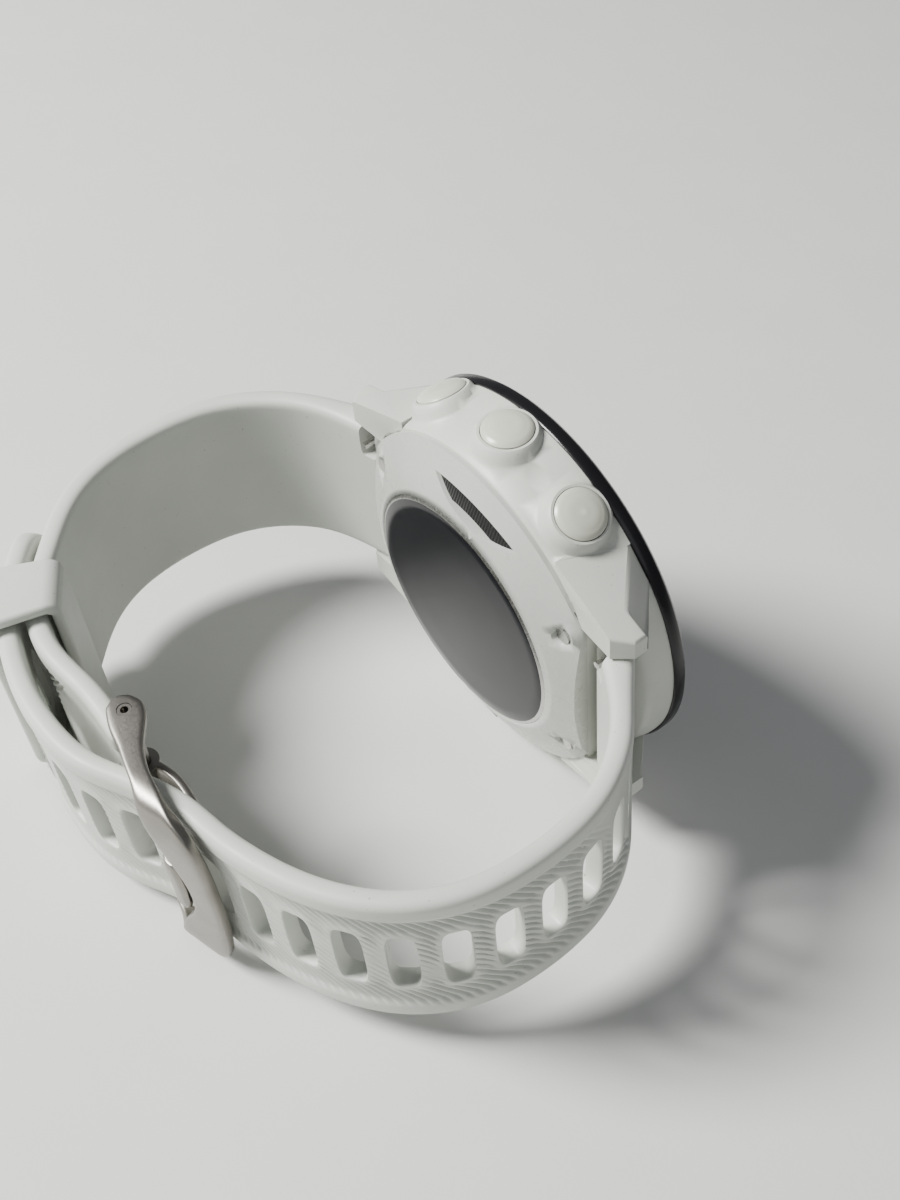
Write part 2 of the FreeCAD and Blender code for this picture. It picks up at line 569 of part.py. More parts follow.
def contact_box(inset):
    low, high = f"contact_mid - 1.2 + {inset}", f"contact_mid + 1.2 - {inset}"
    half = f"(2 * contact_pitch + 0.2 - {inset})"
    return [(low, "-" + half), (high, "-" + half), (high, half), (low, half)]


def lens_outline(made, inset):
    """Leaf-shaped opening between two arcs, its long way round the case axis."""
    half = f"(vent_long / 2 - {inset})"
    rises = [f"(vent_wide / 2 - 0.15 - {inset})", f"(vent_wide / 2 + 0.15 - {inset})"]
    radii = [f"(({half} * {half} + {rise} * {rise}) / (2 * {rise}))" for rise in rises]
    centres = [f"vent_circle + 0.15 + {rises[0]} - {radii[0]}",
               f"vent_circle + 0.15 - {rises[1]} + {radii[1]}"]
    for number, facing in enumerate((0, math.pi)):
        spread = math.asin(size(half) / size(radii[number]))
        circle = Part.Circle(V(size(centres[number]), 0, 0), V(0, 0, 1), size(radii[number]))
        made.addGeometry(Part.ArcOfCircle(circle, facing - spread, facing + spread))
        fix_point(made, number, 3, centres[number], "0")
        index = made.addConstraint(Sketcher.Constraint("Radius", number, size(radii[number])))
        made.setExpression(f"Constraints[{index}]", bound(radii[number]))
    made.addConstraint(Sketcher.Constraint("Coincident", 0, 1, 1, 2))
    made.addConstraint(Sketcher.Constraint("Coincident", 0, 2, 1, 1))
    return made


def shape_button(name, angle):
    """Domed cap with its stem, the O-ring in the stem's groove and the clip inside the case."""
    heading = FreeCAD.Rotation(V(0, 1, 0), 90)
    spin = FreeCAD.Rotation(V(0, 0, 1), angle)
    along = FreeCAD.Placement(V(), spin.multiply(heading))
    top = "(collar_top + cap_proud)"
    groove = "(stem_rad - 0.26)"
    cap = lathe(name, [("0", "stem_end"), ("stem_rad", "stem_end"),
                       ("stem_rad", "clip_outer - clip_thick - 0.02"),
                       (groove, "clip_outer - clip_thick - 0.02"), (groove, "clip_outer + 0.02"),
                       ("stem_rad", "clip_outer + 0.02"),
                       ("stem_rad", "seal_at - 0.25"), (groove, "seal_at - 0.25"),
                       (groove, "seal_at + 0.25"),
                       ("stem_rad", "seal_at + 0.25"), ("stem_rad", "cap_base"), ("cap_rad", "cap_base"),
                       ("cap_rad", top + " - 0.3"), ("cap_rad - 0.3", top),
                       ("cap_rad * 0.55", top + " + cap_dome * 0.75"),
                       ("0", top + " + cap_dome")])
    wire = "seal_wire"
    seal = lathe(name + "_seal", [(groove + " + 0.01", "seal_at - " + wire),
                                  (groove + " + 2 * " + wire, "seal_at - " + wire),
                                  (groove + " + 2 * " + wire, "seal_at + " + wire),
                                  (groove + " + 0.01", "seal_at + " + wire)])
    clip = lathe(name + "_clip", [(groove + " + 0.01", "clip_outer - clip_thick"),
                                  ("clip_rad", "clip_outer - clip_thick"),
                                  ("clip_rad", "clip_outer"), (groove + " + 0.01", "clip_outer")])
    for part in (cap, seal, clip):
        part.Placement = along


def bar_end(side, lift):
    """Point level with a strap bar, lifted off its axis towards the strap's outer face."""
    return V(0, side * (size("bar_y") + 0.35 * lift), SIZES["bar_z"] + 0.94 * lift)


def strap_points(side, lift, count, last):
    """Plan points of one strap face, from the lug round to the loop angle called last."""
    first = math.radians(SIZES["root_angle"]) * side
    point = loop_point if side > 0 else long_point
    steps = [point(first + (last - first) * i / count, lift) for i in range(count + 1)]
    root = SIZES["root_rad"] - SIZES["strap_thick"] / 2
    return [bar_end(side, lift - SIZES["strap_thick"] / 2 + (root if lift > 0 else -root))] + steps


def strap_blank(side, count, last):
    faces = [strap_points(side, lift, count, last) for lift in (0.0, SIZES["strap_thick"])]
    return band(*faces, SIZES["strap_wide"] / 2)


def long_middle():
    """Spline down the middle of the long strap, used to space its slots."""
    last = math.radians(SIZES["tail_angle"])
    return spline(strap_points(-1, SIZES["strap_thick"] / 2, 26, last))


def across_strap(spot, facing, box):
    """Box centred on a spot of the plan, its Z turned to the facing direction."""
    wide, long, deep = box
    cutter = Part.makeBox(wide, long, deep, V(-wide / 2, -long / 2, -deep / 2))
    angle = math.degrees(math.atan2(-facing.y, facing.z))
    cutter.rotate(V(), V(1, 0, 0), angle)
    cutter.translate(spot)
    return cutter


def shape_bar(name, side):
    """Quick-release strap bar: tube, fixed tip and the tip with its thumb lever."""
    y, z = side * size("bar_y"), SIZES["bar_z"]
    half = size("lug_gap") / 2
    reach = half + SIZES["tip_depth"] - 0.15
    tube_half, inside = half - 0.5, SIZES["tip_long"]
    bore = SIZES["tip_rad"] + SIZES["tip_fit"]
    tube = rod(SIZES["bar_rad"], -tube_half, 2 * tube_half, y, z).cut(rod(bore, -half, 2 * half, y, z))
    lever_x = -half + SIZES["lever_in"]
    room = SIZES["lever_rad"] + 0.13
    slot = Part.makeBox(2 * room + SIZES["release_travel"], 2 * room, 3, V(lever_x - room, y - room, z - 3))
    part_feature(name + "_tube", tube.cut(slot))
    part_feature(name + "_fixed_tip", rod(SIZES["tip_rad"], half - inside, reach - half + inside, y, z))
    tip = rod(SIZES["tip_rad"], -reach, reach - half + inside, y, z)
    lever = Part.makeCylinder(SIZES["lever_rad"], SIZES["lever_len"], V(lever_x, y, z - SIZES["lever_len"]),
                              V(0, 0, 1))
    part_feature(name + "_release_tip", tip.fuse(lever))


def root_cuts(solid, side):
    """Bores the strap end for its bar and clears the lever."""
    y, z = side * size("bar_y"), SIZES["bar_z"]
    half = size("lug_gap") / 2
    eye = rod(SIZES["root_rad"], -SIZES["strap_wide"] / 2, SIZES["strap_wide"], y, z)
    hole = rod(SIZES["bar_rad"] + 0.01, -half, 2 * half, y, z)
    reach = SIZES["lever_in"] + SIZES["release_travel"] + 0.6
    window = Part.makeBox(reach, 2.2, 4, V(-half, y - 1.1, z - 4))
    return solid.fuse(eye).cut(hole).cut(window)


FLAT = 0.01


def shape_long_strap():
    last = math.radians(SIZES["tail_angle"])
    solid = root_cuts(strap_blank(-1, 26, last), -1)
    middle = long_middle()
    at_tang = V(0, SIZES["pin_y"] - SIZES["slot_from_pin"], size("pin_z") - SIZES["strap_thick"] / 2)
    for number in range(-SIZES["slots_before"], SIZES["slots_after"] + 1):
        u = middle.parameterAtDistance(number * SIZES["slot_pitch"], middle.parameter(at_tang))
        spot, run = middle.value(u), middle.tangent(u)[0]
        facing = V(0, run.z, -run.y)
        box = (SIZES["slot_long"], SIZES["slot_wide"], 3 * SIZES["strap_thick"])
        solid = solid.cut(across_strap(spot, facing, box))
    tail = middle.value(middle.LastParameter)
    square = [edge for edge in solid.Edges if edge.BoundBox.XLength < FLAT
              and (edge.CenterOfMass - V(edge.CenterOfMass.x, tail.y,
                                         tail.z)).Length < SIZES["strap_thick"] / 2]
    return part_feature("strap_long", solid.makeFillet(SIZES["tail_round"], square))


def shape_short_strap():
    last = math.radians(SIZES["short_angle"])
    solid = root_cuts(strap_blank(1, 14, last), 1)
    half = SIZES["strap_wide"] / 2
    y, z = SIZES["pin_y"], size("pin_z")
    eye = rod(SIZES["barrel_rad"], -half, 2 * half, y, z)
    hole = rod(SIZES["pin_rad"] + 0.01, -half - 1, 2 * half + 2, y, z)
    room = SIZES["tang_wide"] / 2 + SIZES["tang_room"]
    notch = rod(SIZES["barrel_rad"] + SIZES["tang_room"] + 0.05, -room, 2 * room, y, z)
    return part_feature("strap_short", solid.fuse(eye).cut(hole).cut(notch))


# steps from the buckle pin in plan: millimetres towards 12 o'clock, strap thicknesses towards the glass
TANG_STEPS = [(0, 0), (-6.2, 0.625), (-9.2, 0.2083), (-10.1, -1.2917), (-11.1, -1.6458), (-13.4, -1.5625)]
EAR_OUTER = [(0.2, -0.7917), (-3.2, -1.3333), (-6.4, -1.5833), (-10, -1.875), (-12.6, -1.75)]
EAR_INNER = [(-0.6, 0.75), (-4.6, -0.0833), (-8.4, -0.6667), (-11.4, -0.7917), (-13.2, -0.8333)]
PLATE = [(-11.1, -2), (-14.4, -1.6667), (-17.4, -1.2083), (-16.9, -0.7083), (-14, -1.0417), (-10.8, -1.375)]


def from_pin(steps):
    """Plan points from steps off the buckle pin."""
    y, z = SIZES["pin_y"], size("pin_z")
    return [V(0, y + along, z + through * SIZES["strap_thick"]) for along, through in steps]


def ribbon(points, thick, half):
    """Bent strip of even thickness across the strap, from its plan midline."""
    edges = [Part.LineSegment(points[i], points[i + 1]).toShape() for i in range(len(points) - 1)]
    solid = None
    for edge in edges:
        start, end = edge.Vertexes[0].Point, edge.Vertexes[1].Point
        run = (end - start).normalize()
        side = V(0, run.z, -run.y) * (thick / 2)
        corners = [start + side, end + side, end - side, start - side, start + side]
        piece = Part.Face(Part.makePolygon(corners))
        piece.translate(V(-half, 0, 0))
        piece = piece.extrude(V(2 * half, 0, 0)).fuse(rod(thick / 2, -half, 2 * half, end.y, end.z))
        solid = piece if solid is None else solid.fuse(piece)
    return solid


def shape_buckle():
    """Pin, tang and frame: two curved ears joined by a plate across the strap."""
    y, z = SIZES["pin_y"], size("pin_z")
    half = size("ear_gap") / 2 + SIZES["ear_thick"]
    pin_end, dimple = half - 0.1, SIZES["pin_dimple_deep"]
    solid = rod(SIZES["pin_rad"], -pin_end, 2 * pin_end, y, z)
    for start in (-pin_end, pin_end - dimple):
        solid = solid.cut(rod(SIZES["pin_dimple"], start, dimple, y, z))
    part_feature("buckle_pin", solid)
    tang_half = SIZES["tang_wide"] / 2
    eye = rod(SIZES["pin_rad"] + SIZES["tang_eye"], -tang_half, 2 * tang_half, y, z)
    thick = SIZES["tang_thick"]
    hole = rod(SIZES["pin_rad"] + SIZES["pin_fit"], -half, 2 * half, y, z)
    deep, wide = SIZES["scoop_deep"], SIZES["scoop_half"]
    bend = (wide * wide + deep * deep) / (2 * deep)
    scoop_mid = V(0, y + PLATE[0][0] + bend - deep, z - 9)
    tip = Part.makeCylinder(bend - SIZES["tang_room"], 18, scoop_mid)
    part_feature("buckle_tang", eye.fuse(ribbon(from_pin(TANG_STEPS), thick,
                                                tang_half)).common(tip).cut(hole))
    frame = None
    for side in (1, -1):
        inner = side * size("ear_gap") / 2
        face = Part.Face(Part.makePolygon(from_pin(EAR_OUTER + EAR_INNER[::-1] + EAR_OUTER[:1])))
        face.translate(V(inner, 0, 0))
        ear = face.extrude(V(side * SIZES["ear_thick"], 0, 0))
        eye = Part.makeCylinder(SIZES["ear_rad"], SIZES["ear_thick"], V(inner, y, z), V(side, 0, 0))
        ear = ear.fuse(eye)
        frame = ear if frame is None else frame.fuse(ear)
    face = Part.Face(Part.makePolygon(from_pin(PLATE + PLATE[:1])))
    face.translate(V(-half, 0, 0))
    plate = face.extrude(V(2 * half, 0, 0))
    scoop = Part.makeCylinder(bend, 12, scoop_mid)
    part_feature("buckle_frame", frame.fuse(plate.cut(scoop)).cut(hole))


def keeper_block(low, high, half_wide, half_long):
    """Block that follows the strap's curve at the keeper, between two lifts off the wrist side."""
    angle, small = math.radians(SIZES["keeper_angle"]), 0.01
    stack = 2 * SIZES["strap_thick"] + SIZES["layer_gap"]
    speed = (loop_point(angle + small, stack / 2) - loop_point(angle, stack / 2)).Length / small
    reach = half_long / speed
    steps = [angle + reach * share for share in (-1, -0.5, 0, 0.5, 1)]
    return band([loop_point(step, low) for step in steps], [loop_point(step, high) for step in steps],
                half_wide)


def shape_keeper():
    """Loop round both strap layers, bent to their curve, with play for sliding along them."""
    stack = 2 * SIZES["strap_thick"] + SIZES["layer_gap"]
    play, wall, half_long = SIZES["keeper_play"], SIZES["keeper_wall"], SIZES["keeper_long"] / 2
    half_wide = SIZES["strap_wide"] / 2 + SIZES["keeper_side_play"]
    outer = keeper_block(-play - wall, stack + play + wall, half_wide + SIZES["keeper_side"], half_long)
    inner = keeper_block(-play, stack + play, half_wide, 2 * half_long)
    corners = [edge for edge in outer.Edges if isinstance(edge.Curve, Part.BSplineCurve)]
    part_feature("keeper_loop", outer.makeFillet(SIZES["keeper_round"], corners).cut(inner))


shape_case()
shape_front()
shape_inside()
shape_back()
for button, clock in BUTTONS.items():
    shape_button(button, clock)
for bar, end in (("top_bar", 1), ("bottom_bar", -1)):
    shape_bar(bar, end)
shape_long_strap()
shape_short_strap()
shape_buckle()
shape_keeper()
doc.recompute()

# ---------------------------------------------------------------- lay the watch on its side
buckle_half = size("ear_gap") / 2 + SIZES["ear_thick"]
tilt = math.degrees(math.atan2(SIZES["case_dia"] / 2 - buckle_half, SIZES["rim_from_buckle"]))
rest = FreeCAD.Placement(V(), FreeCAD.Rotation(V(0, 1, 0), 90 - tilt))
for node in nodes:
    node.Placement = rest.multiply(node.Placement)
doc.recompute()
whole = Part.makeCompound([node.Shape for node in nodes]).BoundBox
drop = V(-(whole.XMin + whole.XMax) / 2, -(whole.YMin + whole.YMax) / 2, -whole.ZMin)
for node in nodes:
    node.Placement = FreeCAD.Placement(drop, FreeCAD.Rotation()).multiply(node.Placement)
doc.recompute()

for made in doc.Objects:
    if "Invalid" in made.State or "Error" in made.State:
        raise RuntimeError(f"{made.Label} did not build: {made.State}")
for node in nodes:
    if node.Shape.isNull() or not node.Shape.isValid():
        raise RuntimeError(f"{node.Label} is not a valid shape")
os.makedirs("parts", exist_ok=True)
for node in nodes:
    node.Shape.exportStep(os.path.join("parts", node.Label + ".step"))
print(len(nodes), "sub-parts, tilt", tilt, "origin", drop.x, drop.y, drop.z)
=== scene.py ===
import json
import math

import bmesh
import bpy
import numpy as np
from mathutils import Matrix, Vector

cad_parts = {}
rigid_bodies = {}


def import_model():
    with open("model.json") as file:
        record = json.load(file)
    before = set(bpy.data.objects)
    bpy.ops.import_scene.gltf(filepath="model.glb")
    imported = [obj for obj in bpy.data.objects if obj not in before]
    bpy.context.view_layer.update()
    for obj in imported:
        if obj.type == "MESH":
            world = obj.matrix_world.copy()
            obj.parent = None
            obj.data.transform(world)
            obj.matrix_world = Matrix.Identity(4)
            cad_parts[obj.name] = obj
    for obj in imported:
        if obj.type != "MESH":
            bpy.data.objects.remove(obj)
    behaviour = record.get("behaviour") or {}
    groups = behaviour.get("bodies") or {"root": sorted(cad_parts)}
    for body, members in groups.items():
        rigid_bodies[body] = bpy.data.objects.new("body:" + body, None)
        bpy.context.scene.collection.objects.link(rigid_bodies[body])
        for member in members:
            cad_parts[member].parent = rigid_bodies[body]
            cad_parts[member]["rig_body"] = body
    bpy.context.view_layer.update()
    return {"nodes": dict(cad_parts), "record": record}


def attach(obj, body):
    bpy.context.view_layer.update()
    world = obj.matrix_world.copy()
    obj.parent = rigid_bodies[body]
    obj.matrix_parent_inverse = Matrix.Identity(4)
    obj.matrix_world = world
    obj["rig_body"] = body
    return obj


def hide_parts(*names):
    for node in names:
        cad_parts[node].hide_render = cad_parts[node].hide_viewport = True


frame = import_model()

record = frame["record"]

# ================================================================ how the watch lies
# The watch rests on its 3 o'clock side. Its own axes are found from the screen's face:
# right is 3 o'clock, top is 12 o'clock, out is the way the screen looks. Sizes below are in mm on them.
screen = next(m for m in record["mounts"] if m["name"] == "screen_face")
SCREEN_HEIGHT = 4.65
out = np.array(screen["axis"], float)
top = np.array([0.0, 1.0, 0.0])
right = np.cross(top, out)
hub = np.array(screen["pos_m"], float) - out * SCREEN_HEIGHT / 1000
AXES = np.stack([right, top, out])


def place(points):
    """Watch mm to row metres: hub + (x * right + y * top + z * out) / 1000, for an array of any shape."""
    return hub + np.asarray(points, float) @ AXES / 1000


# ---------------------------------------------------------------- case
# One moulding of white glass-filled polymer: side band, four lugs and five button collars.
# The surface is spark-eroded matt, with faint handling marks and a few specks of dust.
def shader(name):
    """Empty node material and its principled shader."""
    made = bpy.data.materials.new(name)
    made.use_nodes = True
    nodes = made.node_tree.nodes
    nodes.clear()
    output = nodes.new("ShaderNodeOutputMaterial")
    surface = nodes.new("ShaderNodeBsdfPrincipled")
    made.node_tree.links.new(surface.outputs[0], output.inputs[0])
    return made, surface


def cloudy(made, per_metre, detail=4.0, rough=0.55, stretch=(1, 1, 1)):
    """Noise on object coordinates with the given number of spots in a metre."""
    tree = made.node_tree
    where = tree.nodes.new("ShaderNodeTexCoord")
    turn = tree.nodes.new("ShaderNodeMapping")
    turn.inputs["Scale"].default_value = stretch
    noise = tree.nodes.new("ShaderNodeTexNoise")
    noise.inputs["Scale"].default_value = per_metre
    noise.inputs["Detail"].default_value = detail
    noise.inputs["Roughness"].default_value = rough
    tree.links.new(where.outputs["Object"], turn.inputs[0])
    tree.links.new(turn.outputs[0], noise.inputs["Vector"])
    return noise.outputs["Fac"]


def ramp(made, value, stops):
    """Colour ramp over a value; stops are (place, colour)."""
    tree = made.node_tree
    node = tree.nodes.new("ShaderNodeValToRGB")
    while len(node.color_ramp.elements) < len(stops):
        node.color_ramp.elements.new(0.5)
    for element, (spot, colour) in zip(node.color_ramp.elements, stops):
        element.position = spot
        element.color = (*colour, 1)
    tree.links.new(value, node.inputs[0])
    return node.outputs[0]


def spread(made, value, low, high):
    """Value from 0.3..0.7 stretched over low..high."""
    tree = made.node_tree
    node = tree.nodes.new("ShaderNodeMapRange")
    node.inputs["From Min"].default_value = 0.3
    node.inputs["From Max"].default_value = 0.7
    node.inputs["To Min"].default_value = low
    node.inputs["To Max"].default_value = high
    tree.links.new(value, node.inputs["Value"])
    return node.outputs[0]


def relief(made, surface, layers):
    """Stacked bumps; layers are (height output, depth in metres, strength)."""
    tree = made.node_tree
    before = None
    for height, depth, strength in layers:
        node = tree.nodes.new("ShaderNodeBump")
        node.inputs["Distance"].default_value = depth
        node.inputs["Strength"].default_value = strength
        tree.links.new(height, node.inputs["Height"])
        if before is not None:
            tree.links.new(before, node.inputs["Normal"])
        before = node.outputs[0]
    tree.links.new(before, surface.inputs["Normal"])


def moulded(name, light, dark, rough, grain=(5200, 0.00002), marks=None, soft=0.0, shine=0.5):
    """Moulded plastic or rubber: cloudy two-tone colour, uneven gloss, fine grain, and dust if asked."""
    made, surface = shader(name)
    tree = made.node_tree
    tone = ramp(made, cloudy(made, 70), [(0.3, dark), (0.7, light)])
    if marks is not None:
        specks = ramp(made, cloudy(made, 2600, 2.0, 0.4),
                      [(0.0, (0, 0, 0)), (0.745, (0, 0, 0)), (0.775, (1, 1, 1))])
        mixed = tree.nodes.new("ShaderNodeMix")
        mixed.data_type = "RGBA"
        mixed.inputs[7].default_value = (*marks, 1)
        tree.links.new(specks, mixed.inputs[0])
        tree.links.new(tone, mixed.inputs[6])
        tone = mixed.outputs[2]
    tree.links.new(tone, surface.inputs["Base Color"])
    tree.links.new(spread(made, cloudy(made, 400), rough - 0.06, rough + 0.06), surface.inputs["Roughness"])
    surface.inputs["Specular IOR Level"].default_value = shine
    if soft:
        surface.inputs["Subsurface Weight"].default_value = soft
        surface.inputs["Subsurface Radius"].default_value = (0.0012, 0.0010, 0.0009)
        surface.inputs["Subsurface Scale"].default_value = 1.0
    relief(made, surface, [(cloudy(made, grain[0], 3.0), grain[1], 0.5), (cloudy(made, 260), 0.00004, 0.25)])
    return made


def coat(node, material):
    """The one finish of a carried-over node."""
    slots = frame["nodes"][node].data.materials
    slots.clear()
    slots.append(material)


case_white = moulded("case_white", (0.56, 0.575, 0.525), (0.51, 0.525, 0.48), 0.44, marks=(0.30, 0.29, 0.26))


def crease_smooth(mesh, degrees):
    """Smooth shading, kept crisp where faces meet at more than the angle."""
    mesh.polygons.foreach_set("use_smooth", np.ones(len(mesh.polygons), bool))
    mesh.set_sharp_from_angle(angle=math.radians(degrees))


def in_watch(point):
    """Row metres to watch mm, the way back from place()."""
    return (np.array(point) - hub) @ AXES.T * 1000


def lug_corners(work):
    """Long sharp edges on the outside of the four lugs."""
    found = []
    for edge in work.edges:
        ends = [in_watch(v.co) for v in edge.verts]
        outside = all(abs(p[0]) > 11.5 and abs(p[1]) > 14.5 and np.hypot(p[0], p[1]) > 20.5 for p in ends)
        if outside and edge.calc_length() > 0.0008 and len(edge.link_faces) == 2:
            if edge.calc_face_angle(0) > math.radians(28):
                found.append(edge)
    return found


def honed(node, material, degrees=30, corners=None):
    """A merged copy of a carried-over node, smooth where it curves, that stands in for it."""
    source = frame["nodes"][node]
    mesh = source.data.copy()
    mesh.name = node + "_finished"
    work = bmesh.new()
    work.from_mesh(mesh)
    bmesh.ops.remove_doubles(work, verts=work.verts, dist=1e-6)
    if corners:
        bmesh.ops.dissolve_limit(work, angle_limit=math.radians(0.5), verts=work.verts, edges=work.edges)
        bmesh.ops.bevel(work, geom=corners(work), offset=0.00032, segments=3, profile=0.5, affect="EDGES",
                        clamp_overlap=False)
    work.to_mesh(mesh)
    work.free()
    mesh.materials.clear()
    mesh.materials.append(material)
    crease_smooth(mesh, degrees)
    made = bpy.data.objects.new(node + "_finished", mesh)
    bpy.context.scene.collection.objects.link(made)
    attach(made, source["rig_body"])
    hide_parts(node)
    return made


honed("case_body", case_white, corners=lug_corners)

# ---------------------------------------------------------------- bezel and glass
# A turned gloss black ring, lacquered, clips over the case and holds the flat cover glass.
# The display under the glass is off, so it reads as black.
bezel_black = moulded("bezel_black", (0.010, 0.010, 0.011), (0.005, 0.005, 0.006), 0.22,
                      grain=(7000, 0.000006),
                       shine=0.3)
honed("bezel_ring", bezel_black)

front_glass, surface = shader("front_glass")
surface.inputs["Base Color"].default_value = (0.01, 0.011, 0.013, 1)
surface.inputs["IOR"].default_value = 1.5
front_glass.node_tree.links.new(spread(front_glass, cloudy(front_glass, 90), 0.03, 0.07),
                                surface.inputs["Roughness"])
relief(front_glass, surface, [(cloudy(front_glass, 40), 0.00002, 0.05)])
honed("glass_lens", front_glass)

display_black = moulded("display_black", (0.008, 0.008, 0.010), (0.004, 0.004, 0.005), 0.2)
seal_rubber = moulded("seal_rubber", (0.05, 0.05, 0.05), (0.03, 0.03, 0.03), 0.7)
coat("display_module", display_black)
coat("lens_gasket", seal_rubber)

# ---------------------------------------------------------------- works inside the case
# Chassis of black polymer, green boards, a foil pouch cell, the motor's steel can and a ceramic antenna.
# They are sealed in, and only seen when the case is taken apart.
dark_polymer = moulded("dark_polymer", (0.05, 0.05, 0.05), (0.03, 0.03, 0.03), 0.5)
board_green = moulded("board_green", (0.03, 0.15, 0.07), (0.02, 0.10, 0.05), 0.3, grain=(2500, 0.00003))
ceramic = moulded("ceramic", (0.72, 0.66, 0.52), (0.65, 0.58, 0.45), 0.55)
led_clear = moulded("led_clear", (0.62, 0.78, 0.64), (0.55, 0.70, 0.58), 0.12)


def metal(name, light, dark, rough, brush=(1, 1, 1), grain=2500, depth=0.000012):
    """Bare metal: cloudy tone, gloss that varies along the brushed direction, and fine grain."""
    made, surface = shader(name)
    surface.inputs["Metallic"].default_value = 1.0
    tree = made.node_tree
    tree.links.new(ramp(made, cloudy(made, 160), [(0.3, dark), (0.7, light)]), surface.inputs["Base Color"])
    tree.links.new(spread(made, cloudy(made, grain, 4, 0.6, brush), rough - 0.05, rough + 0.07),
                   surface.inputs["Roughness"])
    relief(made, surface, [(cloudy(made, grain * 2, 3, 0.6, brush), depth, 0.5)])
    return made


bright_metal = metal("bright_metal", (0.58, 0.57, 0.56), (0.46, 0.45, 0.44), 0.25)
cell_foil = metal("cell_foil", (0.62, 0.62, 0.64), (0.52, 0.52, 0.54), 0.4)
gold_contact = metal("gold_contact", (0.80, 0.60, 0.28), (0.68, 0.50, 0.22), 0.22)
for node, material in (("chassis_pan", dark_polymer), ("main_board", board_green), ("battery", cell_foil),
                       ("vibration_motor", bright_metal), ("gps_antenna", ceramic),
                       ("side_switches", dark_polymer),
                       ("sensor_board", board_green), ("sensor_leds", led_clear), ("back_seal", seal_rubber)):
    coat(node, material)

# ---------------------------------------------------------------- case back
# A smoother light grey shell, screwed on, with the dark sensor lens in its middle.
# A leaf-shaped opening holds a black vent strip with fine ribs; the plug contacts sit opposite.
cover_white = moulded("cover_white", (0.47, 0.485, 0.45), (0.43, 0.445, 0.41), 0.28, grain=(7000, 0.000008))
sensor_black = moulded("sensor_black", (0.010, 0.010, 0.012), (0.006, 0.006, 0.008), 0.08,
                       grain=(7000, 0.000004), shine=0.15)
honed("back_cover", cover_white)
window = honed("sensor_window", sensor_black)
# Painted highlight: a thin band of bright metal on the sensor glass's edge chamfer stands in for the
# highlight along the glass edge.
window.data.materials.append(bright_metal)
for face in window.data.polygons:
    across, along, depth = in_watch(face.center)
    if 14.22 < math.hypot(across, along) < 14.56 and depth < -7.6:
        face.material_index = 1
coat("back_screws", bright_metal)
coat("contact_carrier", dark_polymer)
coat("charge_contacts", gold_contact)

grille_black, surface = shader("grille_black")
surface.inputs["Base Color"].default_value = (0.006, 0.006, 0.006, 1)
surface.inputs["Roughness"].default_value = 0.45
tree = grille_black.node_tree
where = tree.nodes.new("ShaderNodeTexCoord")
stripes = tree.nodes.new("ShaderNodeTexWave")
stripes.bands_direction = "Y"
stripes.inputs["Scale"].default_value = 800
tree.links.new(where.outputs["Object"], stripes.inputs["Vector"])
relief(grille_black, surface,
       [(stripes.outputs["Fac"], 0.0001, 0.8), (cloudy(grille_black, 6000), 0.00002, 0.4)])
coat("vent_grille", grille_black)

# ---------------------------------------------------------------- push buttons
# Five domed caps of a warmer, glossier white, each on a steel-clipped stem through a sealed bore.
# The thin ring of shadow round each cap is the running gap to its collar.
button_white = moulded("button_white", (0.55, 0.56, 0.475), (0.51, 0.52, 0.44), 0.25, grain=(7000, 0.000008))
for name in ("light_button", "up_button", "down_button", "start_button", "back_button"):
    honed(name, button_white, 24)
    coat(name + "_seal", seal_rubber)
    coat(name + "_clip", bright_metal)

# ---------------------------------------------------------------- strap bars
# Quick-release bars: a steel tube with one fixed and one sprung tip; the thumb lever stands out of the
# strap's root.
for bar in ("top_bar", "bottom_bar"):
    for piece in ("_tube", "_fixed_tip", "_release_tip"):
        coat(bar + piece, bright_metal)

# ---------------------------------------------------------------- long strap
# Injection-moulded white silicone with a rounded bead along each edge. The field between the beads
# lies a little lower and carries fine diagonal ribs, and the slots for the buckle run through it.
silicone = moulded("silicone", (0.56, 0.58, 0.53), (0.51, 0.53, 0.485), 0.48, grain=(4200, 0.000018),
                   marks=(0.33, 0.32, 0.30), soft=0.03)
HALF_WIDE, THICK, ROOT = 11.0, 2.4, 2.05
BAR_TOP, BAR_OUT = 20.4, -2.9
LAYER = THICK + 0.75


def signed(value, power):
    return np.sign(value) * np.abs(value) ** power


def hump(value, middle, span):
    """Raised cosine: 1 at the middle, 0 beyond the span."""
    return np.cos(np.minimum(1, np.abs(value - middle) / span) * np.pi / 2) ** 2


def ease(value, low, high):
    """Smooth step: 0 below low, 1 above high, cubic between."""
    share = np.clip((value - low) / (high - low), 0, 1)
    return share * share * (3 - 2 * share)


def loop_curve(angle, lift):
    """Wrist side of the closed strap in (y, z): superellipse of power 2.4 about (1.5, -24), pushed out
    by lift along its normal, with a soft corner where the short half leaves the keeper."""
    z = -24 - 22.2 * signed(np.cos(angle), 2 / 2.4)
    y = 1.5 + 34.5 * signed(np.sin(angle), 2 / 2.4)
    across = signed((-24 - z) / 22.2, 1.4) / 22.2
    along = signed((y - 1.5) / 34.5, 1.4) / 34.5
    length = np.hypot(across, along)
    lift = lift + np.where(z < -24, 2.0 * hump(y, 19, 12), 0)
    return np.stack([y + lift * along / length, z - lift * across / length], -1)


def strap_face(end, angles, height):
    """One face of a strap half: from level with its bar, then along the loop. The long half climbs over the
    short one."""
    raise_by = 0.0
    if end < 0:
        level = loop_curve(angles, 0)[:, 0]
        raise_by = np.where(angles > -np.pi / 2, LAYER * ease(level, -10, 3) + 2.3 * hump(level, 8, 13), 0)
    over_bar = height - THICK / 2 + (ROOT - THICK / 2) * (1 if height > 0 else -1)
    first = [end * (BAR_TOP + 0.35 * over_bar), BAR_OUT + 0.94 * over_bar]
    return np.vstack([first, loop_curve(angles, height + raise_by)])


